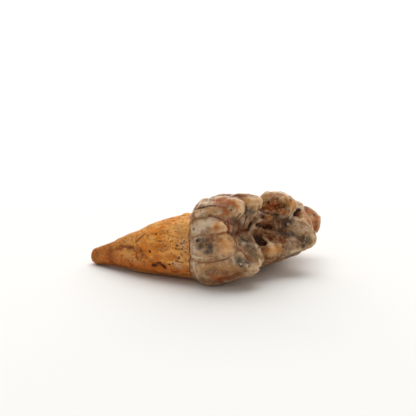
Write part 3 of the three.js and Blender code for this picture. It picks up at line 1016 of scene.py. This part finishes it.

# the stains in the order that they lie, with painted highlights among the pale and chalk strokes and
# painted shade among the umber, orange and dark ones, each with its colour, the level at which its
# edge lies, how ragged and how soft that edge is, and how much it covers, then a light and a dark
# speckle
PIGMENTS = [
    ("fleck", shade(214, 190, 162), 0.50, 0.4, 0.34, 0.35),
    ("vein", shade(86, 54, 32), 0.50, 0.4, 0.34, 0.40),
    ("tan", shade(204, 150, 92), 0.50, 0.5, 0.40, 0.80),
    ("amber", shade(214, 136, 48), 0.50, 0.4, 0.44, 0.80),
    ("umber", shade(116, 60, 18), 0.50, 0.6, 0.40, 0.75),
    ("pale", shade(218, 192, 162), 0.50, 0.5, 0.30, 0.80),
    ("slate", shade(68, 62, 54), 0.50, 0.6, 0.36, 0.90),
    ("olive", shade(116, 90, 48), 0.50, 0.6, 0.36, 0.72),
    ("orange", shade(174, 86, 16), 0.50, 0.5, 0.42, 0.80),
    ("rust", shade(124, 46, 14), 0.50, 0.6, 0.36, 0.80),
    ("crack", shade(122, 58, 26), 0.62, 0.3, 0.20, 0.66),
    ("rim", shade(70, 36, 16), 0.50, 0.4, 0.30, 0.70),
    ("dark", shade(38, 14, 8), 0.50, 0.35, 0.24, 0.92),
    ("chalk", shade(230, 206, 176), 0.50, 0.4, 0.30, 0.75),
]
for name, pigment, level, ragged, soft, cover in PIGMENTS:
    edge = fossil.layer(name) + breakup * fossil.spread(fossil.layer(name), 0.0, 0.4) * ragged
    colour = fossil.blend(fossil.spread(edge, level - soft, level + soft) * cover, colour, pigment)
colour = fossil.patched(
    colour,
    [
        (speckle, 0.56, 0.74, 0.28, shade(236, 212, 180)),
        (speckle, 0.44, 0.28, 0.44, shade(60, 36, 22)),
    ],
)

# the raw stone of the broken places: browner all over, with coarse grains
raw = fossil.layer("broken")
colour = fossil.blend(raw * 0.42, colour, shade(100, 54, 20))
colour = fossil.blend(fossil.spread(speckle, 0.55, 0.68) * raw * 0.55, colour, shade(204, 146, 82))
colour = fossil.blend(fossil.spread(speckle, 0.46, 0.34) * raw * 0.55, colour, shade(48, 22, 10))

# the crests of the enamel, rubbed pale where no dark stain lies and painted lighter as a highlight;
# the fine hollows brown with earth and painted shade, and the broad hollows with painted shade
worn_and_highlit_crests = fossil.spread(fine_hollow, 0.42, 0.05) * (0.58 - raw * 0.48) * fossil.layer("enamel")
worn_and_highlit_crests = worn_and_highlit_crests * (1 - fossil.layer("dark")) * (1 - fossil.layer("slate") * 0.8)
worn_and_highlit_crests = worn_and_highlit_crests * (1 - fossil.layer("umber") * 0.5) * (1 - fossil.layer("rust") * 0.7)
colour = fossil.blend(worn_and_highlit_crests, colour, shade(238, 204, 160))
# painted shade, brown as earth, in the fine hollows
colour = fossil.blend(fossil.spread(fine_hollow, 0.62, 1.0) * 0.5, colour, shade(104, 50, 26))
# painted shade in the broad hollows
painted_hollow_shade = fossil.spread(broad_hollow, 0.6, 1.0) * (0.62 - raw * 0.3)
colour = fossil.blend(painted_hollow_shade, colour, shade(52, 26, 14))

# the fine relief, the gloss of the enamel, and the stone itself
relief = patchy * 0.5 + streaks * 0.4 + speckle * 0.4 - fossil.layer("dark") * 0.5
relief = relief - fossil.layer("crack") * 0.4 - fossil.layer("vein") * 0.15
bump = fossil.node("Bump", {}, {"Strength": 0.4, "Distance": 0.2 * MM, "Height": relief})
rough = fossil.spread(patchy, 0.35, 0.65, 0.38, 0.55) + (1 - fossil.layer("enamel")) * 0.15
gloss = fossil.layer("enamel") * (1 - raw * 0.7) * fossil.spread(patchy, 0.3, 0.6, 0.12, 0.28) + 0.03
skin = fossil.node(
    "BsdfPrincipled",
    {},
    {
        "Base Color": colour,
        "Roughness": rough,
        "Normal": bump,
        "Specular IOR Level": 0.08,
        "Coat Weight": gloss,
        "Coat Roughness": 0.18,
        "Subsurface Weight": 0.12,
        "Subsurface Radius": (1.0, 0.5, 0.25),
        "Subsurface Scale": 0.5 * MM,
    },
)
fossil.shown(skin)
tooth.data.materials.clear()
tooth.data.materials.append(fossil.material)
bpy.ops.object.shade_smooth()

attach(tooth, "root")
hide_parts("cave_bear_molar")

# The table: a wide sheet of plain white board, matt all over. The tooth lies loose on it, with
# nothing under it.
bpy.ops.object.select_all(action="DESELECT")
bpy.ops.mesh.primitive_plane_add(size=4, location=(0, 0, 0))
table = bpy.context.object
table.name = "table"
board = Finish("white_board")
matt = board.node("BsdfPrincipled", {}, {"Base Color": shade(241, 240, 237), "Roughness": 0.9})
board.shown(matt)
table.data.materials.append(board.material)

# The light: an even white room and two wide soft boxes. One hangs high overhead, and the other
# stands low behind the tooth, as the camera sees it, and brightens its far rims.
bpy.context.scene.view_settings.view_transform = "Standard"
room = bpy.data.worlds.new("room")
room.use_nodes = True
room.node_tree.nodes["Background"].inputs["Color"].default_value = (1.0, 0.99, 0.97, 1.0)
room.node_tree.nodes["Background"].inputs["Strength"].default_value = 0.42
bpy.context.scene.world = room


def soft_box(name, place, size, power):
    """A rectangle of soft light that faces the tooth."""
    light = bpy.data.objects.new(name, bpy.data.lights.new(name, "AREA"))
    light.data.shape = "RECTANGLE"
    light.data.size, light.data.size_y = size
    light.data.energy = power
    light.location = place
    light.rotation_euler = (-Vector(place)).to_track_quat("-Z", "Y").to_euler()
    bpy.context.collection.objects.link(light)


soft_box("overhead_box", (-0.10, 0.16, 0.8), (0.9, 0.8), 5.3)
soft_box("back_box", (-0.5, 0.87, 0.34), (1.6, 0.6), 6.9)
